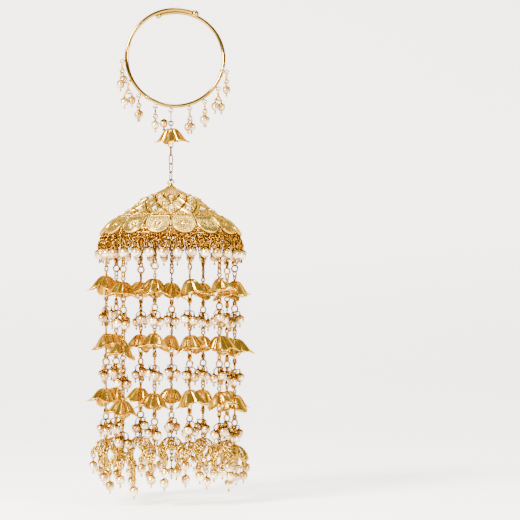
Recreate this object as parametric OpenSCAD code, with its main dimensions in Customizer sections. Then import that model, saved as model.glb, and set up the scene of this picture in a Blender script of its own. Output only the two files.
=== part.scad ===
// A kalire: a bridal hand ornament that hangs from a bangle.
// An open bangle with small pearl drops carries a flower charm and a short chain.
// The chain carries a stamped dome, and eleven strands of flowers and pearls hang from its rim.
// The origin is the point at the top of the bangle's inside, where the ornament hangs.
// +Z is up, -Y is the front and the dome's axis is the Z axis. All sizes are millimetres.

/* [Bangle] */
// Inside diameter of the bangle
bangle_inner_d = 60; // [56:1:64]
// Thickness of the bangle's wire
bangle_wire_d = 2.4; // [2:0.1:2.6]
// How far the bangle's centre lies to the right of the dome's axis
bangle_offset = 2.7; // [0:0.1:4]
// How far behind the other the second end of the wire passes, as an angle
bangle_end_lean = 7; // [6:0.5:9]
// Diameter of the pearls that hang from the bangle
bangle_pearl_d = 5; // [4:0.1:5.2]

/* [Chain] */
// Height at which the dome's top ring is centred, below the origin
dome_ring_depth = 110.3; // [109:0.1:112]
// Thickness of the chain's wire
chain_wire_d = 0.7; // [0.6:0.05:0.8]
// Length of one chain link along the middle of its wire
chain_link_len = 6.175; // [6:0.025:6.3]
// Height at which the dark ring above the charm is centred, below the origin
dark_ring_depth = 72.3; // [72:0.1:73]

/* [Dome] */
// Height of the dome's top, below the origin
dome_top_depth = 113.7; // [113:0.1:114.5]
// Wall of the dome, measured straight down
dome_wall = 1.5; // [1.2:0.1:2]
// Scallop lobes round the rim, and stones in each of the two rows
dome_repeats = 16; // [16]
// Diameter of one scallop lobe
lobe_d = 14.7; // [14:0.1:15]

/* [Rim] */
// Number of pearls round the rim
rim_pearls_n = 32; // [24:2:34]
// Diameter of a rim pearl
rim_pearl_d = 6.2; // [5:0.1:6.4]
// Radius of the circle of rim pearls
rim_pearl_ring_r = 45.5; // [45.4:0.1:46]
// Height of the rim pearls, below the origin
rim_pearl_depth = 157; // [156:0.1:158]

/* [Strands] */
// Radius of the circle on which the strands hang
strand_ring_r = 41.6; // [41:0.1:42]
// Height of the first tier of flowers, below the origin
first_tier_depth = 173.3; // [172:0.1:175]
// Distance between two tiers of flowers
tier_pitch = 34.9; // [34:0.1:36]
// Diameter of the tube that stands for a strand's fine chain
strand_tube_d = 1; // [0.8:0.1:1]
// Diameter of the pearls in a strand's clusters
cluster_pearl_d = 5.7; // [4.8:0.1:5.8]
// Distance of those pearls from the strand's axis
cluster_r = 3.4; // [3.35:0.05:3.5]

/* [Flower] */
// How far a petal's tip reaches from the flower's axis
petal_reach = 12; // [11:0.1:12]
// How far a petal's tip lies below the flower's top
petal_drop = 10.4; // [10:0.1:12]
// How far the notch between two petals lies from the axis
notch_reach = 6.4; // [6:0.1:7.2]
// How far the notch lies below the flower's top
notch_drop = 7; // [6.5:0.1:9]
// Thickness of the sheet, measured straight down
sheet_t = 1; // [0.8:0.1:1.2]

/* [Filigree] */
// Distance from a filigree flower's axis to the middle of a rosette
rosette_ring_r = 7.5; // [7:0.1:7.6]
// How far the rosettes lie below the top of the filigree flower
rosette_drop = 7.6; // [7:0.1:9]

/* [Hidden] */
$fn = 32;
clear = 0.1;
hole_clear = 0.25;

// One row for each strand, counted from the left round the front to the right and the back:
// angle from the front, rise of tiers 1, 2 and 3, turn of the three flowers, and how far the
// flowers lean sideways and tip forwards
STRANDS = [
  // angle, rise_1, rise_2, rise_3, turn_1, turn_2, turn_3, lean, tip
  [ -77.7,    3.0,    1.2,    1.8,      0,     45,      0,   6, -10],
  [   -45,   -1.4,   -3.4,   -5.2,     45,      0,     40,   7,   3],
  [ -13.5,    0.2,    1.4,   -0.4,      0,     45,      4,   6,   6],
  [  16.5,    0.0,    0.2,    1.6,     42,      0,     45,   7,  -8],
  [    47,    1.0,    0.0,    0.0,      4,     45,      0,   7,  -6],
  [    78,   -0.2,   -2.0,   -2.6,     45,      2,     45,   6,  -7],
  [   118,   -0.8,   -1.0,   -1.0,      0,     45,      0,   8,  -4],
  [   149,   -0.2,   -0.2,   -0.4,     45,      0,     45,   8,  -4],
  [   179,    0.2,    0.4,    0.2,      0,     45,      0,   8,  -5],
  [   208,    0.6,    0.8,    0.8,     45,      0,     45,   8,  -5],
  [   238,    1.0,    1.2,    1.2,      0,     45,      0,   6,  -6]
];
strand_n = len(STRANDS);
tiers_n = 3;

// One row for each small drop: angle of its eye round the bangle from the top, clockwise,
// number of pearls, turn of the pearls about the drop, how much lower the second one hangs
BANGLE_DROPS = [
  // eye_angle, pearls, turn, lower_by
  [ -94.3, 2, 70, 3.6],
  [-117.9, 2, 25, 1.2],
  [-136.8, 2, 80, 0.8],
  [-158.1, 2, 90, 0.6],
  [ 164.0, 2, 65, 0.6],
  [ 146.1, 2, 75, 0.4],
  [ 125.9, 2, 40, 0.0],
  [ 105.4, 1, 90, 0.0]
];
last_eye_angle = BANGLE_DROPS[7][0];

// The bangle's circle
wire_r = bangle_wire_d / 2;
hoop_r = bangle_inner_d / 2 + wire_r;
hoop_z = -sqrt(pow(bangle_inner_d / 2, 2) - pow(bangle_offset, 2));
outer_end_angle = 24.1;
inner_end_angle = -22.5;
inner_run_shrink = 0.8;
solder_angle = -145;
outer_ball_d = 4.8;
inner_ball_d = 4;
eye_r = 1.25;
eye_wire_r = 0.35;
eye_post_d = 1;
eye_ring_r = hoop_r + wire_r + eye_r + eye_wire_r + clear;
centre_eye_angle = -acos(-sqrt(1 - pow(bangle_offset / eye_ring_r, 2)));

// Heights of the links between the bangle and the dome
link_wire_r = chain_wire_d / 2;
dark_ring_r = 1.4;
dark_wire_r = 0.42;
eye_bottom_z = hoop_z + eye_ring_r * cos(centre_eye_angle) - eye_r;
jump_top_z = round((eye_bottom_z + eye_wire_r + link_wire_r + clear) * 100) / 100;
hang_step = dark_ring_r - dark_wire_r - link_wire_r - clear;
jump_bottom_z = -dark_ring_depth + hang_step;
pin_top_z = -dark_ring_depth - hang_step;
pin_eye_r = 0.9;
pin_top_eye_z = pin_top_z - pin_eye_r;
charm_z = pin_top_eye_z - pin_eye_r - link_wire_r - 0.25;
charm_hole_d = 1.5;
pin_stop_d = 2.4;
pin_foot_eye_z = charm_z - 6.5;
long_link_top_z = pin_foot_eye_z - pin_eye_r + chain_wire_d + clear;
link_pitch = chain_link_len - chain_wire_d - clear;
top_ring_r = 1.9;
top_ring_wire_r = 0.5;
chain_n = 4;
last_link_z = -dome_ring_depth + top_ring_r - top_ring_wire_r - link_wire_r - 1.5 * clear
              + chain_link_len / 2;
first_link_z = last_link_z + (chain_n - 1) * link_pitch;
long_link_bottom_z = first_link_z + chain_link_len / 2 - chain_wire_d - clear;
link_half_w = 1.2;
chain_turns = [75, 150, 225, 300];

// The dome's outline: radius and depth below its top, from the centre to the rim
DOME_OUTLINE = [
  // radius, depth
  [ 0.0,  -0.3],
  [ 2.6,   0.0],
  [12.4,   4.9],
  [18.9,   8.2],
  [23.5,  12.1],
  [28.7,  16.3],
  [34.3,  20.2],
  [37.7,  22.2],
  [41.8,  26.5],
  [43.0,  28.3]
];
rope_r = 34.6;
rope_depth = 20.1;
rope_w = 1.8;
top_ring_radii = [[4.2, 0.8], [7.4, 2.4], [10.6, 4.0]];
lobe_r = 40.6;
lobe_depth = 25.3;
lobe_slope = 50;
// One row for each ring of stones: radius, depth, slope of the wall, stone diameter
STONE_ROWS = [
  // radius, depth, slope, stone_d
  [17.8,  7.7, 26.9, 3.1],
  [27.4, 15.3, 38.9, 3.4]
];
stone_turn = 1;
cup_h = 1.1;

// The rim's wires and pins
rim_z = -144.4;
fringe_rows = [[43.8, -1.25, 0.8], [44.9, -4.6, 0.7], [45.0, -8.0, 0.7]];
carrier_z = rim_z - 2.6;
carrier_wire_r = 0.6;
strut_d = 0.9;
pin_r = 0.35;
tip_d = 1.7;
cap_t = 0.45;

// Heights within a strand, from the top of its flower
big_ring_rise = 7.7;
big_ring_r = 2.1;
ring_wire_r = 0.4;
loop_rise = 1.9;
loop_r = 1.1;
stop_drop = 3.1;
stop_d = 2.6;
flower_hole_r = 0.8;
cluster_ring_drop = 17.8;
cluster_bar_drop = 20.8;
cluster_drop = 25;
arm_d = 0.6;
bar_w = 1.2;
bar_h = 0.8;
cluster_stagger = [0, -1.2, -2.2];
strand_eye_r = 1.5;

// The filigree flowers and the drops below them
filigree_depth = first_tier_depth + tiers_n * tier_pitch - 2.9;
arms_n = 5;
hub_r = 2.6;
arm_wire_d = 0.8;
arm_gap = 2.2;
rosette_d = 5.6;
rosette_t = 1.6;
bottom_pearl_d = 5.6;
bottom_drop_lengths = [7, 13.5, 9.5, 16.5, 11.5];

// A round ring lying flat: radius of its middle line and radius of its wire
module ring(r, w) {
  rotate_extrude()
    translate([r, 0])
      circle(w);
}

// A round ring standing face to the front
module face_ring(r, w) {
  rotate([90, 0, 0])
    ring(r, w);
}

// A round ring standing edge to the front
module edge_ring(r, w) {
  rotate([0, 90, 0])
    ring(r, w);
}

// An oval link standing face to the front, from height top to height bottom
module oval_link(top, bottom, half_w, w) {
  for (end = [[top - half_w, 90], [bottom + half_w, -90]])
    translate([0, 0, end[0]])
      rotate([end[1], 0, 0])
        rotate_extrude(angle = 180)
          translate([half_w, 0])
            circle(w);
  for (side = [-1, 1])
    translate([side * half_w, 0, bottom + half_w])
      cylinder(r = w, h = top - bottom - 2 * half_w);
}

// A round rod from one point to another
module rod(a, b, d) {
  v = b - a;
  translate(a)
    rotate([0, acos(v.z / norm(v)), atan2(v.y, v.x)])
      cylinder(d = d, h = norm(v));
}

// A pearl drilled for its pin, with its middle at the origin
module pearl(d) {
  difference() {
    sphere(d = d);
    cylinder(r = pin_r + hole_clear, h = d + 1, center = true);
  }
}

// A headpin through a pearl at the origin: a cap above it, the pin and a ball below
module headpin(d, rise) {
  cap_in = d / 2 + clear + 0.02;
  foot = -d / 2 - tip_d / 2 - clear;
  rotate_extrude() {
    translate([0, foot])
      square([pin_r, rise - foot]);
    intersection() {
      difference() {
        circle(cap_in + cap_t);
        circle(cap_in);
      }
      translate([0, cap_in * 0.7])
        square([d, d]);
    }
    intersection() {
      translate([0, foot])
        circle(d = tip_d);
      translate([0, foot - d])
        square([d, 2 * d]);
    }
  }
}

// Points of the bangle's eyes
function on_hoop(angle, r) =
  [bangle_offset + r * sin(angle), 0, hoop_z + r * cos(angle)];

// A stretch of the bangle's wire, clockwise from one angle to another, seen from the front
module hoop_arc(from, to, r) {
  rotate([90, to - 90, 0])
    rotate_extrude(angle = to - from)
      translate([r, 0])
        circle(wire_r);
}

// The wire's first run is a plain circle. The second starts where the last eye is soldered
// and leans back and inwards, so that it passes behind the first
module bangle() {
  inner_r = hoop_r - inner_run_shrink;
  start = on_hoop(last_eye_angle, hoop_r - inner_r) - on_hoop(0, 0);
  color("goldenrod") {
    translate([bangle_offset, 0, hoop_z])
      hoop_arc(last_eye_angle - 360, outer_end_angle, hoop_r);
    translate(on_hoop(outer_end_angle, hoop_r))
      sphere(d = outer_ball_d);
    translate([bangle_offset, 0, hoop_z] + start)
      rotate([0, last_eye_angle - 90, 0])
        rotate([-bangle_end_lean, 0, 0])
          rotate([0, 90 - last_eye_angle, 0]) {
            hoop_arc(inner_end_angle, last_eye_angle, inner_r);
            translate([inner_r * sin(inner_end_angle), 0, inner_r * cos(inner_end_angle)])
              sphere(d = inner_ball_d);
          }
    translate(on_hoop(last_eye_angle, hoop_r))
      sphere(r = wire_r + 0.3);
    translate(on_hoop(solder_angle, hoop_r))
      sphere(r = wire_r + 0.35);
    for (angle = concat([centre_eye_angle], [for (row = BANGLE_DROPS) row[0]])) {
      translate(on_hoop(angle, eye_ring_r))
        face_ring(eye_r, eye_wire_r);
      rod(on_hoop(angle, hoop_r), on_hoop(angle, eye_ring_r - eye_r), eye_post_d);
    }
  }
}

// Where pearl i of a bangle drop hangs, from the middle of its eye
bangle_drop_h = 11.9;
bangle_cluster_r = 2.6;
function bangle_pearl_at(row, i) =
  (row[1] == 1 ? 0 : bangle_cluster_r) * [cos(row[2] + 180 * i), sin(row[2] + 180 * i), 0]
  + [0, 0, -bangle_drop_h - row[3] * i];

// One wire for each small drop: a link through the eye, a loop, a bar and the pearls' headpins
module bangle_drop_wires() {
  w = 0.3;
  top = -eye_r + eye_wire_r + w + clear;
  link_foot = -5;
  loop_z = -6.5;
  bar_z = -8.4;
  color("goldenrod")
    for (row = BANGLE_DROPS)
      translate(on_hoop(row[0], eye_ring_r)) {
        rotate([0, 0, 90])
          oval_link(top, link_foot, 0.95, w);
        translate([0, 0, loop_z])
          face_ring(1, w);
        translate([0, 0, loop_z + 1])
          cylinder(r = 0.45, h = link_foot - loop_z - 1);
        translate([0, 0, bar_z])
          cylinder(r = 0.45, h = loop_z - 1 - bar_z);
        translate([0, 0, bar_z])
          rotate([0, 0, row[2]])
            cube([row[1] == 1 ? bar_w : 2 * bangle_cluster_r + bar_w, bar_w, bar_h], center = true);
        for (i = [0:row[1] - 1])
          translate(bangle_pearl_at(row, i))
            headpin(bangle_pearl_d, bangle_drop_h + row[3] * i + bar_z);
      }
}

module bangle_pearls() {
  color("ivory")
    for (row = BANGLE_DROPS, i = [0:row[1] - 1])
      translate(on_hoop(row[0], eye_ring_r) + bangle_pearl_at(row, i))
        pearl(bangle_pearl_d);
}

// The long link that hangs in the bangle's middle eye and swings there
module jump_ring() {
  color("darkgoldenrod")
    rotate([0, 0, 90])
      oval_link(jump_top_z, jump_bottom_z, 1.6, link_wire_r);
}

// The dark ring with the charm pearl's pin, the pin through the charm, and the chain's links
charm_pearl_at = [-4.6, -0.6, -dark_ring_depth - 0.5];
module neck_chain() {
  pin_rise = bangle_pearl_d / 2 + 1;
  color("peru") {
    translate([0, 0, -dark_ring_depth])
      face_ring(dark_ring_r, dark_wire_r);
    rod([-dark_ring_r * cos(30), 0, -dark_ring_depth + dark_ring_r * sin(30)],
        charm_pearl_at + [0, 0, pin_rise], arm_d);
    translate(charm_pearl_at)
      headpin(bangle_pearl_d, pin_rise);
    for (z = [pin_top_eye_z, pin_foot_eye_z])
      translate([0, 0, z])
        edge_ring(pin_eye_r, link_wire_r);
    translate([0, 0, pin_foot_eye_z + pin_eye_r])
      cylinder(r = link_wire_r, h = pin_top_eye_z - pin_foot_eye_z - 2 * pin_eye_r);
    translate([0, 0, charm_z - sheet_t - 0.3 - pin_stop_d / 2])
      sphere(d = pin_stop_d);
    oval_link(long_link_top_z, long_link_bottom_z, 1.3, link_wire_r);
    for (i = [0:chain_n - 1])
      rotate([0, 0, chain_turns[i]])
        oval_link(first_link_z - i * link_pitch + chain_link_len / 2,
                  first_link_z - i * link_pitch - chain_link_len / 2,
                  link_half_w, link_wire_r);
  }
}

module charm_pearl() {
  color("ivory")
    translate(charm_pearl_at)
      pearl(bangle_pearl_d);
}

// A flower's sheet, as rings of points round its axis. lobe() is 1 along a petal and 0 in a
// notch, and a larger petal_point gives a sharper tip. fall() is the sheet's profile from the
// hole, 0, to the edge, 1: a rounded top, a steep side and a flared edge
petal_steps = 24;
petal_point = 1.2;
function lobe(angle) =
  pow(1 - abs((angle + 45) % 90 - 45) / 45, petal_point);
function fall(way) = pow(way * way * (3 - 2 * way), 1.4);
function sheet_point(angle, way, low) =
  let (edge_r = notch_reach + (petal_reach - notch_reach) * lobe(angle),
       edge_drop = notch_drop + (petal_drop - notch_drop) * lobe(angle),
       r = flower_hole_r + (edge_r - flower_hole_r) * way)
  [r * cos(angle), r * sin(angle), -edge_drop * fall(way) - low];

// The closed sheet: the upper side's rings going out, then the lower side's coming back. Each
// row is the way out from the hole and how far the ring lies below the upper side
sheet_rings = [[0, 0], [0.35, 0], [0.7, 0], [1, 0],
               [1, sheet_t], [0.7, sheet_t], [0.35, sheet_t]];
module flower_sheet() {
  rings_n = len(sheet_rings);
  points = [for (ring = sheet_rings, k = [0:petal_steps - 1])
             sheet_point(k * 360 / petal_steps, ring[0], ring[1])];
  faces = [for (i = [0:rings_n - 1], k = [0:petal_steps - 1], half = [0, 1])
            let (j = (i + 1) % rings_n,
                 l = (k + 1) % petal_steps,
                 a = i * petal_steps + k,
                 b = j * petal_steps + k,
                 c = j * petal_steps + l,
                 d = i * petal_steps + l)
            half == 0 ? [a, b, c] : [a, c, d]];
  polyhedron(points = points, faces = faces);
}

// Puts what follows at a strand's axis, with the strand's own front facing outwards
module at_strand(s) {
  rotate([0, 0, STRANDS[s - 1][0]])
    translate([0, -strand_ring_r, 0])
      children();
}
function tier_z(s, t) = -first_tier_depth - (t - 1) * tier_pitch + STRANDS[s - 1][t];

module flower(s, t) {
  turn = STRANDS[s - 1][3 + t];
  lean = STRANDS[s - 1][7];
  tip = STRANDS[s - 1][8];
  color("gold")
    at_strand(s)
      translate([0, 0, tier_z(s, t)])
        rotate([tip, lean, turn + 90])
          flower_sheet();
}

// The charm is one more flower, on the pin above the chain
module charm() {
  color("gold")
    translate([0, 0, charm_z])
      rotate([2, 10, -105])
        flower_sheet();
}

// Where pearl i of a cluster hangs, from the strand's axis at the top of its flower
function cluster_at(s, t, i) =
  let (angle = 120 * i + 40 * s + 25 * t)
  [cluster_r * cos(angle), cluster_r * sin(angle), -cluster_drop + cluster_stagger[i]];

// One stretch of a strand's tube, eight-sided, between two heights
module tube(top, bottom) {
  translate([0, 0, bottom])
    cylinder(d = strand_tube_d, h = top - bottom, $fn = 8);
}

function filigree_z(s) = -filigree_depth + STRANDS[s - 1][3];

// A strand: its eye on the rim's wire, the rings, the loops above the flowers, the stops
// below them, and the three-armed bars and headpins of its pearls, joined by the tube
module strand(s) {
  color("peru")
    at_strand(s) {
      eye_z = carrier_z + carrier_wire_r + link_wire_r + clear - strand_eye_r;
      translate([0, 0, eye_z])
        edge_ring(strand_eye_r, link_wire_r);
      for (t = [1:tiers_n]) {
        z = tier_z(s, t);
        above = t == 1 ? eye_z - strand_eye_r : tier_z(s, t - 1) - cluster_ring_drop - big_ring_r;
        if (t == 1) {
          tube(above, z + big_ring_rise + big_ring_r);
          translate([0, 0, z + big_ring_rise])
            face_ring(big_ring_r, ring_wire_r);
          tube(z + big_ring_rise - big_ring_r, z + loop_rise + loop_r);
        } else {
          tube(above, z + loop_rise + loop_r);
        }
        translate([0, 0, z + loop_rise])
          face_ring(loop_r, link_wire_r);
        tube(z + loop_rise - loop_r, z - cluster_ring_drop + big_ring_r);
        translate([0, 0, z - stop_drop])
          sphere(d = stop_d);
        translate([0, 0, z - cluster_ring_drop])
          face_ring(big_ring_r, ring_wire_r);
        bar_z = z - cluster_bar_drop;
        translate([0, 0, bar_z])
          cylinder(r = 1, h = bar_h + 0.4, center = true);
        for (i = [0:2]) {
          at = cluster_at(s, t, i) + [0, 0, z];
          translate([0, 0, bar_z])
            rotate([0, 0, atan2(at.y, at.x)])
              translate([0, -bar_w / 2, -bar_h / 2])
                cube([cluster_r + bar_w / 2, bar_w, bar_h]);
          translate(at)
            headpin(cluster_pearl_d, bar_z - at.z);
        }
      }
      foot_z = filigree_z(s);
      tube(tier_z(s, 3) - cluster_ring_drop - big_ring_r, foot_z - stop_drop);
      translate([0, 0, foot_z - stop_drop])
        sphere(d = stop_d);
    }
}

module tier_pearls(t) {
  color("ivory")
    for (s = [1:strand_n])
      at_strand(s)
        for (i = [0:2])
          translate(cluster_at(s, t, i) + [0, 0, tier_z(s, t)])
            pearl(cluster_pearl_d);
}

// A rosette, lying flat: a disc with a raised edge and a round boss in the middle
module rosette() {
  rotate_extrude() {
    translate([0, -rosette_t / 2])
      square([rosette_d / 2, rosette_t]);
    translate([rosette_d / 2 - 1.2, 0])
      square([1.2, rosette_t / 2 + 0.5]);
    translate([0, 0])
      square([0.9, rosette_t / 2 + 0.7]);
  }
}

// How the drops below a filigree flower hang, from the flower's top
function arm_turn(s, k) = 72 * k + 36 * s + 90;
function bottom_pearl_at(s, k) =
  let (turn = arm_turn(s, k),
       r = rosette_ring_r + 0.4)
  [r * cos(turn), r * sin(turn), -rosette_drop - bottom_drop_lengths[k]];

// A filigree flower hangs on its strand's last stop: a hub, five pairs of wires, each pair
// ending in a rosette, and below each rosette a wire with a headpin
module filigree() {
  color("goldenrod")
    for (s = [1:strand_n])
      at_strand(s)
        translate([0, 0, filigree_z(s)]) {
          difference() {
            translate([0, 0, -1.2])
              cylinder(r = hub_r + 0.6, h = 1.2);
            cylinder(r = flower_hole_r, h = 4, center = true);
          }
          for (k = [0:arms_n - 1])
            rotate([0, 0, arm_turn(s, k)]) {
              for (side = [-1, 1])
                rod([hub_r - 0.4, side * arm_gap / 2, -0.6],
                    [rosette_ring_r - 0.75, side * arm_gap / 2, -rosette_drop + 1.41], arm_wire_d);
              translate([rosette_ring_r, 0, -rosette_drop])
                rotate([0, 62, 0])
                  rosette();
            }
          for (k = [0:arms_n - 1])
            translate(bottom_pearl_at(s, k))
              headpin(bottom_pearl_d, bottom_drop_lengths[k] - 0.9);
        }
}

module bottom_pearls() {
  color("ivory")
    for (s = [1:strand_n])
      at_strand(s)
        for (k = [0:arms_n - 1])
          translate(bottom_pearl_at(s, k) + [0, 0, filigree_z(s)])
            pearl(bottom_pearl_d);
}

// Puts what follows on the dome's outside, upright on its wall
module on_dome(angle, r, depth, slope) {
  rotate([0, 0, angle])
    translate([0, -r, -dome_top_depth - depth])
      rotate([slope, 0, 0])
        children();
}

// One scallop lobe, lying flat: a plate with a boss, a middle ring and a raised edge
module scallop_lobe() {
  edge_w = 1;
  rotate_extrude() {
    translate([0, -0.9])
      square([lobe_d / 2, 1.6]);
    translate([lobe_d / 2 - edge_w, -0.9])
      square([edge_w, 2.1]);
    translate([lobe_d * 0.3, -0.9])
      square([edge_w, 2.1]);
    translate([0, -0.9])
      square([1.6, 2.3]);
  }
}

// The dome: a thin wall turned about the axis, with its top ring, neck and collar, raised
// rings on the cap, a rope border, a cup for each stone and the scallop lobes at the rim
module dome() {
  color("gold") {
    difference() {
      union() {
        translate([0, 0, -dome_top_depth])
          rotate_extrude()
            polygon(concat([for (p = DOME_OUTLINE) [p[0], -p[1]]],
                           [for (i = [len(DOME_OUTLINE) - 1:-1:0])
                             [DOME_OUTLINE[i][0], -DOME_OUTLINE[i][1] - dome_wall]]));
        for (p = top_ring_radii)
          translate([0, 0, -dome_top_depth - p[1]])
            ring(p[0], 0.4);
        translate([0, 0, -dome_top_depth - rope_depth])
          ring(rope_r, rope_w / 2);
        for (row = STONE_ROWS, k = [0:dome_repeats - 1])
          on_dome(stone_turn + k * 360 / dome_repeats, row[0], row[1], row[2])
            translate([0, 0, -0.5])
              cylinder(d = row[3] + 1, h = cup_h + 0.5);
        for (k = [0:dome_repeats - 1])
          on_dome((k + 0.5) * 360 / dome_repeats, lobe_r, lobe_depth, lobe_slope)
            scallop_lobe();
      }
      for (row = STONE_ROWS, k = [0:dome_repeats - 1])
        on_dome(stone_turn + k * 360 / dome_repeats, row[0], row[1], row[2])
          translate([0, 0, clear])
            cylinder(d = row[3] + 2 * clear, h = cup_h + 1);
    }
    translate([0, 0, -dome_ring_depth])
      face_ring(top_ring_r, top_ring_wire_r);
    translate([0, 0, -dome_top_depth - 0.4])
      cylinder(r = 1.2, h = dome_top_depth - dome_ring_depth - top_ring_r + 0.4);
    translate([0, 0, -dome_top_depth + 0.5])
      ring(1.7, 0.6);
  }
}

// A cut stone: a flat table, eight crown facets and eight below the girdle
module cut_stone(d) {
  culet_z = 0.2;
  girdle_z = 0.75;
  table_z = 1.3;
  points = concat([for (k = [0:7]) [0.55 * d / 2 * cos(45 * k), 0.55 * d / 2 * sin(45 * k), table_z]],
                  [for (k = [0:7]) [d / 2 * cos(45 * k), d / 2 * sin(45 * k), girdle_z]],
                  [[0, 0, culet_z]]);
  faces = concat([[for (k = [0:7]) 7 - k]],
                 [for (k = [0:7]) [k, (k + 1) % 8, (k + 1) % 8 + 8, k + 8]],
                 [for (k = [0:7]) [k + 8, (k + 1) % 8 + 8, 16]]);
  polyhedron(points = points, faces = faces);
}

module dome_stones() {
  color("white")
    for (row = STONE_ROWS, k = [0:dome_repeats - 1])
      on_dome(stone_turn + k * 360 / dome_repeats, row[0], row[1], row[2])
        cut_stone(row[3]);
}

// The rim's fringe as one soldered piece: rows of wire, the pearls' headpins, and an inner
// wire on short struts that carries the strands
module rim_fringe() {
  color("darkgoldenrod") {
    for (row = fringe_rows)
      translate([0, 0, rim_z + row[1]])
        ring(row[0], row[2]);
    translate([0, 0, carrier_z])
      ring(strand_ring_r, carrier_wire_r);
    for (s = [1:strand_n])
      rotate([0, 0, STRANDS[s - 1][0] + 14])
        rod([0, -strand_ring_r, carrier_z], [0, -fringe_rows[0][0], rim_z + fringe_rows[0][1]], strut_d);
    for (k = [0:rim_pearls_n - 1])
      rotate([0, 0, (k + 0.5) * 360 / rim_pearls_n])
        translate([0, -rim_pearl_ring_r, -rim_pearl_depth])
          headpin(rim_pearl_d, rim_pearl_depth + rim_z + fringe_rows[1][1] + 0.2);
    for (k = [0:2:rim_pearls_n - 1])
      rotate([0, 0, (k + 0.5) * 360 / rim_pearls_n])
        rod([0, -fringe_rows[0][0], rim_z + fringe_rows[0][1]],
            [0, -rim_pearl_ring_r, rim_z + fringe_rows[1][1]], strut_d);
  }
}

module rim_pearls() {
  color("ivory")
    for (k = [0:rim_pearls_n - 1])
      rotate([0, 0, (k + 0.5) * 360 / rim_pearls_n])
        translate([0, -rim_pearl_ring_r, -rim_pearl_depth])
          pearl(rim_pearl_d);
}

bangle();
bangle_drop_wires();
bangle_pearls();
jump_ring();
neck_chain();
charm();
charm_pearl();
dome();
dome_stones();
rim_fringe();
rim_pearls();
filigree();
bottom_pearls();
for (s = [1:strand_n]) strand(s);
for (t = [1:tiers_n]) tier_pearls(t);
for (s = [1:strand_n], t = [1:tiers_n])
  flower(s, t);
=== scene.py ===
# %% [markdown]
# A kalire is a bridal ornament for the hand: a bangle, a short chain with a flower charm, a
# stamped dome, and a curtain of strands with gold flowers and pearls. The solids come from the
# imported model, which this script loads first and never moves. Fine work is added on them here.

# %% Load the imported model
import bpy
import numpy as np
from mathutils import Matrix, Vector


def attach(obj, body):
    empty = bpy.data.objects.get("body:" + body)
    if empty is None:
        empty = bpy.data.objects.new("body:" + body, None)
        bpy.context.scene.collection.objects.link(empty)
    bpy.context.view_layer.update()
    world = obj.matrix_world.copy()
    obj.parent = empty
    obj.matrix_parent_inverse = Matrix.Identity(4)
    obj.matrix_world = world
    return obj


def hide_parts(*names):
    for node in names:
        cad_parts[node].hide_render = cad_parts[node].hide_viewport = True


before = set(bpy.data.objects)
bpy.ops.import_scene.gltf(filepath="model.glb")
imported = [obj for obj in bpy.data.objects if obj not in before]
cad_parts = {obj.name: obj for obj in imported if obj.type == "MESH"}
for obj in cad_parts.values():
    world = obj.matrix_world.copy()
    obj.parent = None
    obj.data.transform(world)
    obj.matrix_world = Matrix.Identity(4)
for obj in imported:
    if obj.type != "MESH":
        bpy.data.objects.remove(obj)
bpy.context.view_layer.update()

# %% [markdown]
# Every piece below is a surface on a grid of points. A grid's faces only depend on how many rows
# and columns it has, so one function makes them for all. Sizes are in millimetres until the mesh
# is written, because a jewel's parts are easy to picture in millimetres.

# %% Grids and shells
MM = 0.001


def grid_faces(rows, cols, close_rows=False, close_cols=False):
    """Quads of a grid: each point, the next in its column, that one's neighbour, and its own."""
    i = np.arange(rows if close_rows else rows - 1)[:, None]
    j = np.arange(cols if close_cols else cols - 1)[None, :]
    after_i = (i + 1) % rows
    after_j = (j + 1) % cols
    corners = [i * cols + j, after_i * cols + j, after_i * cols + after_j, i * cols + after_j]
    return np.stack(corners, axis=-1).reshape(-1, 4)


def shell(points, faces, painted_shading=0.5):
    """Points, a list of face arrays, and a painted shading for each point: 0 is painted shade in a
    recess, 1 painted highlight on top.
    """
    points = np.asarray(points, float).reshape(-1, 3)
    return points, [np.asarray(f) for f in faces], np.broadcast_to(painted_shading, len(points)).copy()


def turned(x=0.0, y=0.0, z=0.0):
    """Turning matrices for angles in degrees: about X first, then Y, then Z. Arrays give many."""
    x, y, z = np.broadcast_arrays(*[np.radians(np.atleast_1d(a).astype(float)) for a in (x, y, z)])
    cx, sx, cy, sy, cz, sz = np.cos(x), np.sin(x), np.cos(y), np.sin(y), np.cos(z), np.sin(z)
    rows = [
        [cz * cy, cz * sy * sx - sz * cx, cz * sy * cx + sz * sx],
        [sz * cy, sz * sy * sx + cz * cx, sz * sy * cx - cz * sx],
        [-sy, cy * sx, cy * cx],
    ]
    return np.moveaxis(np.array(rows), 2, 0)


def copies(unit, places, turns=None, sizes=None):
    """The unit shell once at each place, turned by its matrix and scaled by its size."""
    points, faces, painted_shading = unit
    places = np.atleast_2d(places).astype(float)
    count = len(places)
    moved = np.broadcast_to(points, (count,) + points.shape)
    if sizes is not None:
        moved = moved * np.broadcast_to(sizes, count)[:, None, None]
    if turns is not None:
        turns = np.broadcast_to(turns, (count, 3, 3))
        moved = np.einsum("mij,mnj->mni", turns, moved)
    moved = moved + places[:, None, :]
    shift = (np.arange(count) * len(points))[:, None, None]
    spread = [(f[None] + shift).reshape(-1, f.shape[1]) for f in faces]
    return moved.reshape(-1, 3), spread, np.tile(painted_shading, count)


def joined(shells):
    """Several shells as one."""
    points, faces, painted_shadings, start = [], [], [], 0
    for shell_points, shell_faces, painted_shading in shells:
        points.append(shell_points)
        faces += [f + start for f in shell_faces]
        painted_shadings.append(painted_shading)
        start += len(shell_points)
    return np.concatenate(points), faces, np.concatenate(painted_shadings)


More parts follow.
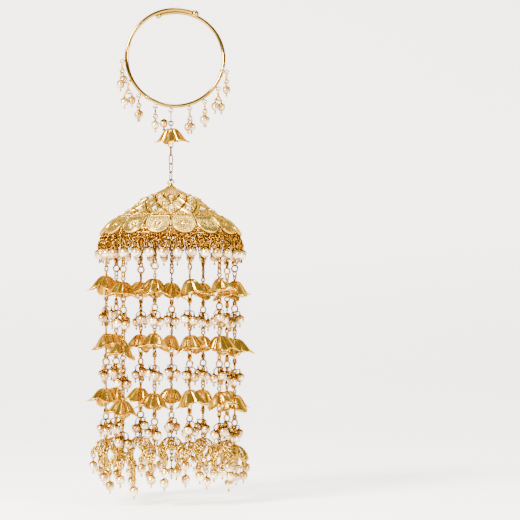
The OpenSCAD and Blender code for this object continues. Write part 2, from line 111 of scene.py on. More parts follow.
def piece(name, unit, material, body, replaces=()):
    """Writes a shell as a mesh object with its material, on its body, in place of CAD nodes."""
    points, faces, painted_shading = unit
    mesh = bpy.data.meshes.new(name)
    loops = np.concatenate([f.ravel() for f in faces]).astype(np.int32)
    totals = np.concatenate([np.full(len(f), f.shape[1]) for f in faces])
    starts = np.concatenate([[0], np.cumsum(totals)[:-1]]).astype(np.int32)
    mesh.vertices.add(len(points))
    mesh.vertices.foreach_set("co", (points * MM).astype(np.float32).ravel())
    mesh.loops.add(len(loops))
    mesh.loops.foreach_set("vertex_index", loops)
    mesh.polygons.add(len(totals))
    mesh.polygons.foreach_set("loop_start", starts)
    mesh.update(calc_edges=True)
    mesh.polygons.foreach_set("use_smooth", np.ones(len(totals), bool))
    # Each point's painted shading, which the gold finishes read to paint shade and highlight
    mesh.attributes.new("painted_shading", "FLOAT", "POINT").data.foreach_set("value", painted_shading.astype(np.float32))
    mesh.validate()
    mesh.materials.append(material)
    made = bpy.data.objects.new(name, mesh)
    bpy.context.scene.collection.objects.link(made)
    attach(made, body)
    if replaces:
        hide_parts(*replaces)
    triangles = int((totals - 2).sum())
    made_triangles[name] = triangles
    return made


made_triangles = {}

# %% [markdown]
# Jewellery wire is round, so nearly every part is a circle carried along a path. The circle
# stands square to the path at each point. A closed path gives a ring or a link, and an open one
# gets a flat cap at both ends, so that no mesh is left open.

# %% Wire, links and balls


def sweep(path, radius, sides=8, closed=False, up=(0, 0, 1), painted_shading=0.5):
    """A round wire: path point plus radius times (cos t of the side way + sin t of the top way)."""
    path = np.asarray(path, float)
    along = np.roll(path, -1, 0) - np.roll(path, 1, 0) if closed else np.gradient(path, axis=0)
    along /= np.linalg.norm(along, axis=1)[:, None]
    side = np.cross(along, up)
    side /= np.linalg.norm(side, axis=1)[:, None]
    top = np.cross(side, along)
    t = np.linspace(0, 2 * np.pi, sides, endpoint=False)[None, :, None]
    thick = np.broadcast_to(radius, len(path))[:, None, None]
    points = path[:, None] + thick * (np.cos(t) * side[:, None] + np.sin(t) * top[:, None])
    faces = [grid_faces(len(path), sides, closed, True)]
    if not closed:
        first = np.arange(sides)
        faces.append(np.stack([first, first[::-1] + (len(path) - 1) * sides]))
    return shell(points, faces, np.repeat(np.broadcast_to(painted_shading, len(path)), sides))


def circle_path(radius, steps=24, start=0.0):
    """A circle facing the front: radius times (cos t, 0, sin t)."""
    t = np.linspace(0, 2 * np.pi, steps, endpoint=False) + start
    return np.stack([radius * np.cos(t), 0 * t, radius * np.sin(t)], 1)


def ring(radius, wire, steps=16, sides=6):
    """A ring of round wire that faces the front."""
    return sweep(circle_path(radius, steps), wire, sides, closed=True, up=(0, 1, 0))


def oval(length, width, wire, steps=12, sides=6):
    """An oval link that faces the front: two half circles moved apart along Z by length - width."""
    t = (np.arange(steps) + 0.5) * 2 * np.pi / steps
    z = np.sin(t) * width / 2 + np.sign(np.sin(t)) * (length - width) / 2
    path = np.stack([np.cos(t) * width / 2, 0 * t, z], 1)
    return sweep(path, wire, sides, closed=True, up=(0, 1, 0))


def ball(cuts=2):
    """A ball of radius 1: the six faces of a cube as grids, each point pushed out to distance 1."""
    line = np.tan(np.linspace(-1, 1, cuts + 1) * np.pi / 4)
    a, b = np.meshgrid(line, line, indexing="ij")
    one = np.ones_like(a)
    faces_of_cube = [(one, a, b), (-one, b, a), (b, one, a),
                     (a, -one, b), (a, b, one), (b, a, -one)]
    points = np.stack([np.stack(f, -1).reshape(-1, 3) for f in faces_of_cube])
    points /= np.linalg.norm(points, axis=2)[:, :, None]
    per_face = (cuts + 1) ** 2
    quads = np.concatenate([grid_faces(cuts + 1, cuts + 1) + k * per_face for k in range(6)])
    _, first, same = np.unique(
        np.round(points.reshape(-1, 3), 5), axis=0, return_index=True, return_inverse=True
    )
    return shell(points.reshape(-1, 3)[first], [same.ravel()[quads]])


def beaded(steps, pitch_steps, thick, swell=0.3):
    """Wire radius that swells into beads: thick times (1 + swell times cos of the way along)."""
    return thick * (1 + swell * np.cos(2 * np.pi * np.arange(steps) / pitch_steps))


print("a link has", len(oval(2.6, 1.5, 0.2)[1][0]), "faces, a small ball", len(ball()[1][0]))

# %% [markdown]
# Gold plate over brass is a metal, so its colour lies in the reflection and the base colour is
# the gold itself. The photograph shows cream lights and amber shades on one and the same gold.
# Each finish mixes a deep and a light colour by a painted shading that the shape gives, painted
# shade in recesses and creases and painted highlight on ridges and tops, with noise for handling
# marks, and fine bump from how it was made: brushed sheet, stamped relief, drawn wire.

# %% Colours and nodes


def colour(code):
    """sRGB hex to linear: each channel over 12.92 if dark, else ((c + 0.055) / 1.055) ** 2.4."""
    parts = [int(code[k:k + 2], 16) / 255 for k in (1, 3, 5)]
    return (*[c / 12.92 if c <= 0.04045 else ((c + 0.055) / 1.055) ** 2.4 for c in parts], 1.0)


def node(tree, kind, settings=(), **inputs):
    """Adds a node of a kind, sets its properties, and links or sets its named inputs."""
    made = tree.nodes.new(kind)
    for key, value in dict(settings).items():
        setattr(made, key, value)
    for key, value in inputs.items():
        socket = made.inputs[int(key[1:])] if key[0] == "i" and key[1:].isdigit() else made.inputs[
            key.replace("_", " ")]
        if isinstance(value, bpy.types.NodeSocket):
            tree.links.new(value, socket)
        else:
            socket.default_value = value
    return made


def new_material(name):
    """An empty material with a Principled shader: its tree, shader and object coordinates."""
    material = bpy.data.materials.new(name)
    material.use_nodes = True
    tree = material.node_tree
    shader = tree.nodes["Principled BSDF"]
    place = tree.nodes.new("ShaderNodeTexCoord").outputs["Object"]
    return material, tree, shader, place


def stretched(tree, place, x_mm, y_mm, z_mm):
    """Coordinates scaled so that one unit of a pattern is so many millimetres each way."""
    mapping = node(tree, "ShaderNodeMapping", Vector=place)
    mapping.inputs["Scale"].default_value = [1000 / size for size in (x_mm, y_mm, z_mm)]
    return mapping.outputs["Vector"]


def gold_finish(name, deep, light, edge, rough, marks_mm, grain_mm, bump_mm, painted_shading_low=0.0,
                painted_shading_high=1.0):
    """Gold plate: deep to light by the painted shading and by marks, with grain as bump and in the
    roughness.
    """
    material, tree, shader, place = new_material(name)
    # The painted shading: painted shade in recesses and creases, painted highlight on high points
    painted_shading = node(tree, "ShaderNodeAttribute", {"attribute_name": "painted_shading"}).outputs["Fac"]
    spread = node(tree, "ShaderNodeMapRange", Value=painted_shading, From_Min=painted_shading_low, From_Max=painted_shading_high)
    marks = node(tree, "ShaderNodeTexNoise", Vector=stretched(tree, place, *[marks_mm] * 3),
                 Scale=1.0, Detail=3.0)
    shift = node(tree, "ShaderNodeMath", {"operation": "MULTIPLY_ADD"},
                 i0=marks.outputs["Fac"], i1=0.5, i2=-0.25)
    mix = node(tree, "ShaderNodeMath", {"operation": "ADD", "use_clamp": True},
               i0=spread.outputs["Result"], i1=shift.outputs[0])
    shade = node(tree, "ShaderNodeMix", {"data_type": "RGBA"}, i0=mix.outputs[0])
    shade.inputs[6].default_value = colour(deep)
    shade.inputs[7].default_value = colour(light)
    tree.links.new(shade.outputs[2], shader.inputs["Base Color"])
    grain = node(tree, "ShaderNodeTexNoise", Vector=stretched(tree, place, *grain_mm),
                 Scale=1.0, Detail=4.0, Roughness=0.6)
    rough_range = node(tree, "ShaderNodeMapRange", Value=grain.outputs["Fac"],
                       To_Min=rough * 0.75, To_Max=rough * 1.35)
    tree.links.new(rough_range.outputs["Result"], shader.inputs["Roughness"])
    bump = node(tree, "ShaderNodeBump", Height=grain.outputs["Fac"], Strength=1.0,
                Distance=bump_mm * MM)
    tree.links.new(bump.outputs["Normal"], shader.inputs["Normal"])
    shader.inputs["Metallic"].default_value = 1.0
    # Worn plating keeps its colour at grazing angles, where clean metal would turn white
    shader.inputs["Specular Tint"].default_value = colour(edge)
    return material


# %% The golds
# Polished drawn wire: long clean lights, hardly any grain
polished_wire = gold_finish("polished gold-plated wire", "#B08C3C", "#FBE6A4", "#564618", 0.12, 9.0,
                            (0.5, 0.5, 0.5), 0.004)
# Brushed sheet: fine lines from the top of the petal to its edge, broad soft lights
brushed_sheet = gold_finish("brushed gold-plated sheet", "#A66E14", "#FFDE62", "#D0A448", 0.2, 4.0,
                            (0.35, 0.35, 3.5), 0.035)
# Stamped relief: painted shade in the recesses, painted highlight on the high points
stamped_gold = gold_finish("stamped gold plate", "#8A5C14", "#FFDC70", "#E0B45C", 0.26, 3.0,
                           (0.5, 0.5, 0.5), 0.03, 0.0, 0.8)
# Small rings and findings: redder plating, darker where it wears
reddish_findings = gold_finish("reddish gold-plated findings", "#62440A", "#C08E34", "#5E4614",
                               0.2, 2.5, (0.4, 0.4, 0.4), 0.01)
# Filigree: drawn and twisted wire, soldered and plated
filigree_gold = gold_finish("gold-plated filigree wire", "#7A540C", "#EAC050", "#76581A", 0.2, 2.5,
                            (0.4, 0.4, 0.4), 0.01)

# %% [markdown]
# The pearls are glass with a pearly coating. The coating reflects the room softly in its own
# tint, so it is partly a metal here, and a clear lacquer adds a small sharp light. A noise of the
# size of a pearl shifts the tint from cream to beige from one pearl to the next.

# %% Pearls and stones


def pearl_finish():
    """Beige to cream by a coarse noise, a soft tinted reflection, and a lacquer coat."""
    material, tree, shader, place = new_material("coated glass pearl")
    tint = node(tree, "ShaderNodeTexNoise", Vector=stretched(tree, place, 6.0, 6.0, 6.0),
                Scale=1.0, Detail=1.0)
    ramp = node(tree, "ShaderNodeValToRGB", Fac=tint.outputs["Fac"])
    ramp.color_ramp.elements[0].position = 0.36
    ramp.color_ramp.elements[0].color = colour("#B4884C")
    ramp.color_ramp.elements[1].position = 0.62
    ramp.color_ramp.elements[1].color = colour("#FFF4D8")
    middle = ramp.color_ramp.elements.new(0.48)
    middle.color = colour("#E2C48C")
    tree.links.new(ramp.outputs["Color"], shader.inputs["Base Color"])
    uneven = node(tree, "ShaderNodeTexNoise", Vector=stretched(tree, place, 1.2, 1.2, 1.2),
                  Scale=1.0, Detail=2.0)
    bump = node(tree, "ShaderNodeBump", Height=uneven.outputs["Fac"], Strength=1.0,
                Distance=0.03 * MM)
    tree.links.new(bump.outputs["Normal"], shader.inputs["Normal"])
    shader.inputs["Metallic"].default_value = 0.75
    shader.inputs["Roughness"].default_value = 0.24
    shader.inputs["Coat Weight"].default_value = 1.0
    shader.inputs["Coat Roughness"].default_value = 0.1
    return material


def crystal_finish():
    """Foiled cut glass: bright body, clear sharp lights, a faint grey cloud from the foil."""
    material, tree, shader, place = new_material("foiled cut glass")
    cloud = node(tree, "ShaderNodeTexNoise", Vector=stretched(tree, place, 1.5, 1.5, 1.5),
                 Scale=1.0, Detail=1.0)
    shade = node(tree, "ShaderNodeMix", {"data_type": "RGBA"}, i0=cloud.outputs["Fac"])
    shade.inputs[6].default_value = colour("#D9D6D0")
    shade.inputs[7].default_value = colour("#FFFFFF")
    tree.links.new(shade.outputs[2], shader.inputs["Base Color"])
    shader.inputs["Roughness"].default_value = 0.04
    shader.inputs["IOR"].default_value = 1.6
    shader.inputs["Transmission Weight"].default_value = 0.25
    shader.inputs["Coat Weight"].default_value = 0.5
    return material


pearl = pearl_finish()
crystal = crystal_finish()


def dress(node_name, material):
    """Gives a CAD node's own mesh a finish."""
    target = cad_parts[node_name]
    target.data.materials.clear()
    target.data.materials.append(material)


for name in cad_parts:
    if "pearl" in name:
        dress(name, pearl)
dress("dome_stones", crystal)
dress("jump_ring", reddish_findings)
dress("neck_chain", reddish_findings)
dress("bangle", polished_wire)
print("materials:", [m.name for m in bpy.data.materials])

# %% [markdown]
# The strands hang from a ring under the dome's rim. This table is the same short one as the
# solids use: where each strand hangs, how much higher each flower sits than its tier, and how
# the flowers are turned, leaned and tipped. All other places follow from it.

# %% Where the strands hang
# One row a strand: angle, rise_1, rise_2, rise_3, turn_1, turn_2, turn_3, lean, tip
STRANDS = np.array([
    [-77.7, 3.0, 1.2, 1.8, 0, 45, 0, 6, -10],
    [-45.0, -1.4, -3.4, -5.2, 45, 0, 40, 7, 3],
    [-13.5, 0.2, 1.4, -0.4, 0, 45, 4, 6, 6],
    [16.5, 0.0, 0.2, 1.6, 42, 0, 45, 7, -8],
    [47.0, 1.0, 0.0, 0.0, 4, 45, 0, 7, -6],
    [78.0, -0.2, -2.0, -2.6, 45, 2, 45, 6, -7],
    [118.0, -0.8, -1.0, -1.0, 0, 45, 0, 8, -4],
    [149.0, -0.2, -0.2, -0.4, 45, 0, 45, 8, -4],
    [179.0, 0.2, 0.4, 0.2, 0, 45, 0, 8, -5],
    [208.0, 0.6, 0.8, 0.8, 45, 0, 45, 8, -5],
    [238.0, 1.0, 1.2, 1.2, 0, 45, 0, 6, -6],
])
STRAND_RING_R = 41.6
FIRST_TIER = 173.3
TIER_PITCH = 34.9
strand_turn = turned(z=STRANDS[:, 0])
strand_top = np.einsum("mij,j->mi", strand_turn, [0, -STRAND_RING_R, 0])


def tier_z(s, t):
    """Height of the top of strand s's flower in tier t, both counted from 0."""
    return -FIRST_TIER - t * TIER_PITCH + STRANDS[s, 1 + t]


# %% [markdown]
# A flower is a round of thin sheet, cut into four lobes and drawn down over a punch. Between
# two lobes the sheet folds into a narrow crease. The edge flares out and curls up a little. In
# two parameters, the angle round the axis and the way out from the hole, that is one formula for
# the middle of the sheet. Half the thickness is then added on both sides along its normal.

# %% The petal sheet
HOLE_R = 0.8
PETAL_REACH = 12.0
PETAL_DROP = 10.4
PETAL_POINT = 0.9
NOTCH_REACH = 6.4
NOTCH_DROP = 7.0
SHEET_T = 0.4
PETAL_STEPS = 80
WAY_STEPS = 14


def petal_sheet(seed):
    """The flower's sheet. Radius: hole + (edge - hole) * way. Height: minus the edge's drop times
    (way^2 * (3 - 2 way))^1.4, less a fold at the notches, plus a ridge along each petal, and each
    petal bent up or down by hand by its own amount, which grows with the square of the way."""
    rng = np.random.default_rng(seed)
    angle = np.linspace(0, 2 * np.pi, PETAL_STEPS, endpoint=False)[None, :]
    way = np.linspace(0, 1, WAY_STEPS)[:, None]
    off = (angle + np.pi / 4) % (np.pi / 2) - np.pi / 4
    lobe = (1 - np.abs(off) / (np.pi / 4)) ** PETAL_POINT
    edge_r = NOTCH_REACH + (PETAL_REACH - NOTCH_REACH) * lobe
    edge_drop = NOTCH_DROP + (PETAL_DROP - NOTCH_DROP) * lobe
    from_notch = np.pi / 4 - np.abs(off)
    fold = np.exp(-(from_notch / 0.09) ** 2) * np.clip(way * 1.1, 0, 1) ** 2
    ridge = np.exp(-(off / 0.07) ** 2) * np.sin(np.pi * np.clip(way, 0, 1)) ** 0.7
    curl = np.clip((way - 0.6) / 0.4, 0, 1) ** 2
    bend = rng.uniform(-1.2, 1.7, 4)[((angle + np.pi / 4) // (np.pi / 2)).astype(int) % 4]
    wave = rng.uniform(-0.35, 0.35) * np.sin(9 * angle + rng.uniform(0, 6)) * way ** 3
    radius = HOLE_R + (edge_r - HOLE_R) * way - 0.5 * fold
    height = -edge_drop * (way ** 2 * (3 - 2 * way)) ** 1.4 - 0.45
    height = height - 0.7 * fold + 0.28 * ridge + 0.5 * curl * lobe + bend * lobe * way ** 2 + wave
    middle = np.stack(np.broadcast_arrays(
        radius * np.cos(angle), radius * np.sin(angle), height), -1)
    round_it = np.roll(middle, -1, 1) - np.roll(middle, 1, 1)
    out = np.gradient(middle, axis=0)
    normal = np.cross(out, round_it)
    normal /= np.linalg.norm(normal, axis=2)[:, :, None]
    upper = middle + normal * SHEET_T / 2
    lower = middle - normal * SHEET_T / 2
    points = np.concatenate([upper, lower[::-1]])
    # Painted shading: painted shade in the creases between petals and on the whole underside,
    # painted highlight along each petal's ridge and on its rim
    light = 0.35 - 0.5 * fold + 0.45 * ridge + 0.55 * np.clip((way - 0.86) / 0.14, 0, 1) + 0 * angle
    painted_shading = np.concatenate([light, (light - 0.3)[::-1]])
    return shell(points, [grid_faces(2 * WAY_STEPS, PETAL_STEPS, True, True)], painted_shading.ravel())


for s in range(len(STRANDS)):
    for t in range(3):
        lean, tip, turn = STRANDS[s, 7], STRANDS[s, 8], STRANDS[s, 4 + t]
        facing = strand_turn[s] @ turned(tip, lean, turn + 90)[0]
        top = strand_top[s] + [0, 0, tier_z(s, t)]
        name = f"flower_{s + 1}_{t + 1}"
        sheet = copies(petal_sheet(10 * s + t), top, facing)
        piece("petals_" + name, sheet, brushed_sheet, "drop", [name])

CHARM_Z = -75.23
charm_sheet = copies(petal_sheet(99), [0, 0, CHARM_Z], turned(2, 10, -105))
piece("petals_charm", charm_sheet, brushed_sheet, "drop", ["charm"])
print("a flower has", made_triangles["petals_charm"], "triangles")

# %% [markdown]
# Each pearl hangs on a headpin: a small cup with a scalloped edge sits on the pearl, the wire is
# wound into a coil and a loop above it, and a ball below keeps the pearl on. The cup is a part of
# a sphere whose lower edge moves up and down with the angle.

# %% Headpins
PIN_R = 0.35


def bead_cup(pearl_d, scallops=5, steps=20):
    """A cup on a pearl: sphere angle from the pole 0.15 to 1.05 rad, the edge waved by the angle,
    an outer and an inner side 0.35 mm apart, joined at the edge and at the pole."""
    turn = np.linspace(0, 2 * np.pi, steps, endpoint=False)[None, :]
    way = np.linspace(0, 1, 4)[:, None]
    reach = 0.15 + way * (0.82 + 0.2 * np.cos(scallops * turn))
    sides = []
    for radius in (pearl_d / 2 + 0.5, pearl_d / 2 + 0.14):
        sides.append(np.stack(np.broadcast_arrays(
            radius * np.sin(reach) * np.cos(turn), radius * np.sin(reach) * np.sin(turn),
            radius * np.cos(reach)), -1))
    points = np.concatenate([sides[0], sides[1][::-1]])
    return shell(points, [grid_faces(8, steps, True, True)], 0.55)


def coil(turns, radius, wire, height, steps_a_turn=9, sides=5):
    """A wound wire: a helix of the given radius rising by height over its turns."""
    t = np.linspace(0, 2 * np.pi * turns, int(turns * steps_a_turn) + 1)
    path = np.stack([radius * np.cos(t), radius * np.sin(t), height * t / t[-1]], 1)
    return sweep(path, wire, sides)


def headpin(pearl_d, with_loop=True):
    """Cup, coil and loop above a pearl at the origin, and a bead and a small ball below it."""
    top = pearl_d / 2 + 0.45
    foot = -pearl_d / 2 - 0.1
    parts = [bead_cup(pearl_d)]
    parts.append(sweep([[0, 0, foot - 0.9], [0, 0, 0], [0, 0, top + 0.9]], PIN_R, 6, up=(0, 1, 0)))
    parts.append(copies(coil(2.5, 0.44, 0.24, 0.9), [0, 0, top]))
    parts.append(copies(ball(2), [0, 0, foot - 0.42], sizes=0.52))
    parts.append(copies(ball(2), [0, 0, foot - 1.15], sizes=0.7))
    if with_loop:
        parts.append(copies(ring(0.64, 0.28, 12, 5), [0, 0, top + 1.45]))
    return joined(parts)


print("a headpin has", sum(len(f) for f in headpin(5.2)[1]), "faces")

# %% [markdown]
# A strand is a fine chain of oval links, each turned a quarter against the last so that they
# pass through each other. The solids only hold a plain tube there. Links are set along a straight
# line at a pitch of one link less 2.6 wire radii, and their number is fitted to the stretch. All
# wire sizes in this file are radii.

# %% Chains
LINK_L = 3.3
LINK_W = 2.1
LINK_WIRE = 0.52
chain_link = oval(LINK_L, LINK_W, LINK_WIRE, 12, 5)


def chain(top, bottom, first_turn=0.0):
    """Oval links from one height down to another, each turned by 90 degrees against the last."""
    pitch = LINK_L - 2.6 * LINK_WIRE
    count = max(1, int(round((top - bottom - LINK_L) / pitch)) + 1)
    middle = np.linspace(top - LINK_L / 2, bottom + LINK_L / 2, count) if count > 1 else np.array(
        [(top + bottom) / 2])
    places = np.stack([0 * middle, 0 * middle, middle], 1)
    return copies(chain_link, places, turned(z=first_turn + 90.0 * np.arange(count)))


# %% The eleven strands
CLUSTER_R = 3.4
CLUSTER_DROP = 25.0
CLUSTER_STAGGER = np.array([0.0, -1.2, -2.2])
CLUSTER_RING = 17.8
CLUSTER_PEARL_D = 5.7
BIG_RING_RISE = 7.7
BIG_RING_R = 2.1
LOOP_RISE = 1.9
EYE_Z = -148.0
FILIGREE_DEPTH = FIRST_TIER + 3 * TIER_PITCH - 2.9


def cluster_at(s, t):
    """Where the three pearls of a cluster hang, from the top of the flower above them."""
    turn = np.radians(120 * np.arange(3) + 40 * (s + 1) + 25 * (t + 1))
    return np.stack([CLUSTER_R * np.cos(turn), CLUSTER_R * np.sin(turn),
                     CLUSTER_STAGGER - CLUSTER_DROP], 1)


def hanger(start, end, wire=0.4, steps=9):
    """A bent wire: it leaves the ring outwards and comes down on the pearl's loop. Sideways it
    goes as sin of a quarter turn, downwards as one minus the cosine."""
    t = np.linspace(0, np.pi / 2, steps)[:, None]
    flat = start[:2] + (end[:2] - start[:2]) * np.sin(t)
    drop = start[2] + (end[2] - start[2]) * (1 - np.cos(t))
    side = np.array([-(end[1] - start[1]), end[0] - start[0], 0.0])
    return sweep(np.hstack([flat, drop]), wire, 6, up=side)


cluster_pin = headpin(CLUSTER_PEARL_D)
big_ring = ring(BIG_RING_R, 0.58, 24, 6)
for s in range(len(STRANDS)):
    parts = [copies(ring(1.55, 0.54, 16, 6), [0, 0, EYE_Z - 0.15], turned(z=90))]
    for t in range(3):
        z = tier_z(s, t)
        above = EYE_Z - 1.5 if t == 0 else tier_z(s, t - 1) - CLUSTER_RING - BIG_RING_R
        if t == 0:
            ring_z = z + BIG_RING_RISE
            parts.append(chain(above + 0.2, ring_z + BIG_RING_R - 0.4, 90 * (s % 2)))
            parts.append(copies(big_ring, [0, 0, ring_z], turned(z=15 * s)))
            parts.append(chain(ring_z - BIG_RING_R + 0.4, z + LOOP_RISE + 0.9, 90))
        else:
            parts.append(chain(above + 0.4, z + LOOP_RISE + 0.9, 90 * (s % 2)))
        parts.append(copies(ring(1.1, 0.5, 14, 6), [0, 0, z + LOOP_RISE], turned(z=30 * s)))
        parts.append(copies(ball(3), [0, 0, z - 0.1], sizes=0.95))
        parts.append(sweep([[0, 0, z + 0.9], [0, 0, z - 1], [0, 0, z - 4.4]], 0.34, 6,
                           up=(0, 1, 0)))
        parts.append(copies(ball(3), [0, 0, z - 3.1], sizes=1.2))
        ring_z = z - CLUSTER_RING
        parts.append(chain(z - 4, z - 9.6, 90))
        parts.append(copies(ring(1.5, 0.48, 16, 6), [0, 0, z - 10.6], turned(z=40 * s)))
        parts.append(chain(z - 11.7, ring_z + BIG_RING_R - 0.4, 0))
        parts.append(copies(big_ring, [0, 0, ring_z], turned(z=25 * s + 60 * t)))
        pearls = cluster_at(s, t) + [0, 0, z]
        parts.append(copies(cluster_pin, pearls, turned(z=50.0 * np.arange(3))))
        loop_rise = CLUSTER_PEARL_D / 2 + 1.9
        for pearl_at in pearls:
            start = np.array([0, 0, ring_z - BIG_RING_R + 0.1])
            parts.append(hanger(start, pearl_at + [0, 0, loop_rise + 0.55]))
    foot_z = -FILIGREE_DEPTH + STRANDS[s, 3]
    parts.append(chain(tier_z(s, 2) - CLUSTER_RING - BIG_RING_R + 0.4, foot_z + 0.4, 90 * (s % 2)))
    parts.append(sweep([[0, 0, foot_z + 0.8], [0, 0, foot_z - 1], [0, 0, foot_z - 3.2]], 0.34, 6,
                       up=(0, 1, 0)))
    parts.append(copies(ball(3), [0, 0, foot_z - 3.1], sizes=1.3))
    whole = copies(joined(parts), strand_top[s], strand_turn[s])
    name = f"strand_{s + 1}"
    piece("chain_" + name, whole, reddish_findings, "drop", [name])
print("a strand has", made_triangles["chain_strand_1"], "triangles")

# %% [markdown]
# The flower at the foot of each strand is filigree. Five petals of wire, each an outline of
# beaded wire with two smaller ones inside, bend down from a domed hub, with a single loop between
# each two. At each petal's tip is a rosette of seven balls, and a pearl hangs below it on a chain
# of its own length. A petal is a drop-shaped loop in two dimensions, laid on a slope.

# %% Filigree petals and rosettes
ROSETTE_RING_R = 7.5
ROSETTE_DROP = 7.6
BOTTOM_PEARL_D = 5.6
BOTTOM_LENGTHS = np.array([7.0, 13.5, 9.5, 16.5, 11.5])


def petal_wire(length, width, wire, steps=36, sides=5, bead=3):
    """A drop-shaped loop: out by length * (1 - cos t) / 2, sideways by width * sin t * sin(t/2),
    and down by a bend that grows with the square of the way out. Its wire swells into beads."""
    t = np.linspace(0, 2 * np.pi, steps, endpoint=False)
    out = length * (1 - np.cos(t)) / 2
    side = width * np.sin(t) * np.sin(t / 2)
    down = -1.25 * ROSETTE_DROP * (out / 8.0) ** 2
    path = np.stack([out + 1.6, side, down - 0.4], 1)
    # Painted highlight on each bead's swell, painted shade between the beads
    return sweep(path, beaded(steps, bead, wire), sides, closed=True, up=(0, 0, 1),
                 painted_shading=0.55 + 0.25 * np.cos(2 * np.pi * np.arange(steps) / bead))


def rosette():
    """Six balls round a larger one, on a ring of wire, seen from the front of the rosette."""
    turn = np.radians(60 * np.arange(6))
    around = np.stack([1.95 * np.cos(turn), 1.95 * np.sin(turn), 0 * turn + 0.4], 1)
    outer = copies(ball(2), around, sizes=1.05)
    middle = copies(ball(2), [0, 0, 0.75], sizes=1.15)
    flat_ring = copies(ring(1.9, 0.45, 18, 6), [0, 0, 0], turned(90))
    plate = round_plate([[0, -0.6], [2.2, -0.6], [2.6, -0.3], [2.6, 0.1], [1.6, 0.5], [0, 0.6]], 18)
    return joined([outer, middle, flat_ring, plate])


def round_plate(outline, steps, painted_shading=0.4):
    """A turned shape: outline points of radius and height from pole to pole, with fans there."""
    outline = np.asarray(outline, float)
    turn = np.linspace(0, 2 * np.pi, steps, endpoint=False)
    inner = outline[1:-1]
    grid = np.stack(np.broadcast_arrays(
        inner[:, :1] * np.cos(turn), inner[:, :1] * np.sin(turn), inner[:, 1:]), -1).reshape(-1, 3)
    first, last = len(grid), len(grid) + 1
    poles = np.array([[0, 0, outline[0, 1]], [0, 0, outline[-1, 1]]])
    j = np.arange(steps)
    start = np.stack([np.full(steps, first), (j + 1) % steps, j], 1)
    end_row = (len(inner) - 1) * steps
    end = np.stack([np.full(steps, last), end_row + j, end_row + (j + 1) % steps], 1)
    faces = [grid_faces(len(inner), steps, False, True)[:, ::-1], start, end]
    return shell(np.concatenate([grid, poles]), faces, painted_shading)


# %% The filigree flowers
bottom_pin = headpin(BOTTOM_PEARL_D)
rosette_shell = rosette()
rng = np.random.default_rng(5)
parts = []
for s in range(len(STRANDS)):
    flower = []
    arms = np.arange(5) * 72.0 + 36 * (s + 1) + 90
    turns = turned(z=arms)
    for length, width, wire, bead in ((7.6, 3.0, 0.44, 3), (6.4, 2.1, 0.3, 2), (4.9, 1.1, 0.28, 2)):
        flower.append(copies(petal_wire(length, width, wire, bead=bead), np.zeros((5, 3)), turns))
    flower.append(copies(petal_wire(6.6, 2.0, 0.36), np.zeros((5, 3)), turned(z=arms + 36)))
    flower.append(round_plate([[0, -1.3], [1.8, -1.3], [3.0, -1.1], [3.1, -0.7], [2.2, -0.2],
                               [1.0, 0.1], [0, 0.15]], 24))
    around = np.radians(30.0 * np.arange(12))
    beads = np.stack([2.75 * np.cos(around), 2.75 * np.sin(around), 0 * around - 0.55], 1)
    flower.append(copies(ball(2), beads, sizes=0.5))
    at = np.stack([ROSETTE_RING_R * np.cos(np.radians(arms)),
                   ROSETTE_RING_R * np.sin(np.radians(arms)), np.full(5, -ROSETTE_DROP)], 1)
    flower.append(copies(rosette_shell, at, turns @ turned(y=62.0)))
    pearls = np.stack([(ROSETTE_RING_R + 0.4) * np.cos(np.radians(arms)),
                       (ROSETTE_RING_R + 0.4) * np.sin(np.radians(arms)),
                       -ROSETTE_DROP - BOTTOM_LENGTHS], 1)
    flower.append(copies(bottom_pin, pearls, turned(z=rng.uniform(0, 360, 5))))
    for k in range(5):
        foot = pearls[k, 2] + BOTTOM_PEARL_D / 2 + 2.4
        if foot < -ROSETTE_DROP - 3.2:
            links = chain(-ROSETTE_DROP - 1.6, foot, 90 * (k % 2))
            flower.append(copies(links, [pearls[k, 0], pearls[k, 1], 0], turned(z=arms[k])))
    foot_z = -FILIGREE_DEPTH + STRANDS[s, 3]
    parts.append(copies(joined(flower), strand_top[s] + [0, 0, foot_z], strand_turn[s]))
filigree = joined(parts)
piece("filigree_flowers", filigree, filigree_gold, "drop", ["filigree"])
print("filigree has", made_triangles["filigree_flowers"], "triangles")

# %% [markdown]
# The dome is one stamped sheet. Its pattern repeats sixteen times round: rings of dots on the
# cap, then a lattice of diamonds with a stone in every second one, grains in rings round each
# stone, and sunk grooves between. All of it is a height above the plain wall, as a function of
# the angle and the way down, so the wall is moved outwards along its normal by that height. The
# height also sets a painted shading: painted shade in the grooves, painted highlight on the tops.

# %% The dome's wall
DOME_TOP = -113.7
REPEATS = 16
STONE_TURN = 1.0
DOME_OUTLINE = np.array([
    [0.0, -0.3], [2.6, 0.0], [12.4, 4.9], [18.9, 8.2], [23.5, 12.1], [28.7, 16.3], [34.3, 20.2],
    [37.7, 22.2], [41.8, 26.5], [43.0, 28.3],
])
STONE_ROWS = np.array([[17.8, 7.7, 26.9, 3.1], [27.4, 15.3, 38.9, 3.4]])
WALL_T = 1.5


def dome_profile(r):
    """Depth of the plain wall at a radius, from the outline, rounded over 1.5 mm."""
    near = r[:, None] + np.linspace(-1.5, 1.5, 7)
    return np.interp(near, DOME_OUTLINE[:, 0], DOME_OUTLINE[:, 1]).mean(axis=1)


def bead_ring(r, across, count, wide=0.55, high=0.3):
    """Height of a ring of beads: a dome over the distance across, times one along the ring."""
    body = np.clip(1 - (across / wide) ** 2, 0, 1)
    grain = np.clip(np.cos(count), -0.2, 1) * 0.5 + 0.5
    return high * np.sqrt(body) * grain


def cap_relief(r, angle):
    """Rings of dots 1.35 mm apart on the cap, each with a count that fits its radius."""
    height = 0 * (r + angle)
    for k, ring_r in enumerate(np.arange(3.4, 13.0, 1.35)):
        count = 8 * round(2 * np.pi * ring_r / 1.3 / 8)
        height = np.maximum(height, bead_ring(r, r - ring_r, count * angle + np.pi * (k % 2)))
    return height


